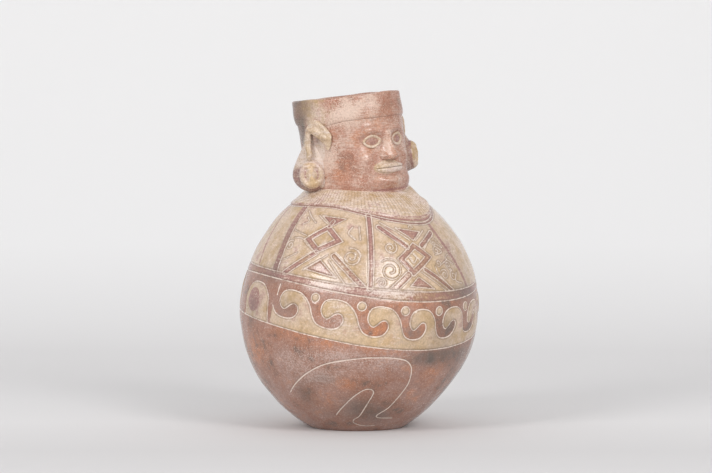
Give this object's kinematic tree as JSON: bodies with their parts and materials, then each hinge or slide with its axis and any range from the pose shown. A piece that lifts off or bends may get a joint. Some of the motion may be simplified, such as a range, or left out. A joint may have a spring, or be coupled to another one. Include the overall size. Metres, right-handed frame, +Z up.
{
  "type": "effigy vessel",
  "caption": "Round-bellied fired-clay jar whose wide open neck is modelled as a human head with ear ornaments; slip-painted and incised tunic over the body.",
  "frame": {"origin": "centre of the flat base, on the surface that the jar stands on", "axes": "+Z up through the body, the modelled face looks along -Y, the figure's left is +X"},
  "size_m": [0.1492, 0.1492, 0.2105],
  "materials": {
    "red_slip": "burnished red-brown slip, worn",
    "cream_slip": "burnished cream slip, worn",
    "plum_slip": "dark plum slip, worn",
    "bare_clay": "bare fired clay, matt"
  },
  "bodies": {
    "root": {"base_slab": "red_slip", "lower_body": "red_slip", "upper_body": "cream_slip", "base_coil": "bare_clay", "body_seam_coil": "bare_clay", "collar": "cream_slip", "head_front": "red_slip", "head_back": "red_slip", "neck_joint_coil": "bare_clay", "headband": "red_slip", "nose": "red_slip", "upper_lip": "cream_slip", "lower_lip": "cream_slip", "right_head_seam_strip": "bare_clay", "left_head_seam_strip": "bare_clay", "right_eyelids": "cream_slip", "left_eyelids": "cream_slip", "right_eye_pellet": "plum_slip", "left_eye_pellet": "plum_slip", "right_ear": "cream_slip", "left_ear": "cream_slip", "right_ear_spool": "cream_slip", "left_ear_spool": "cream_slip"}
  },
  "joints": []
}
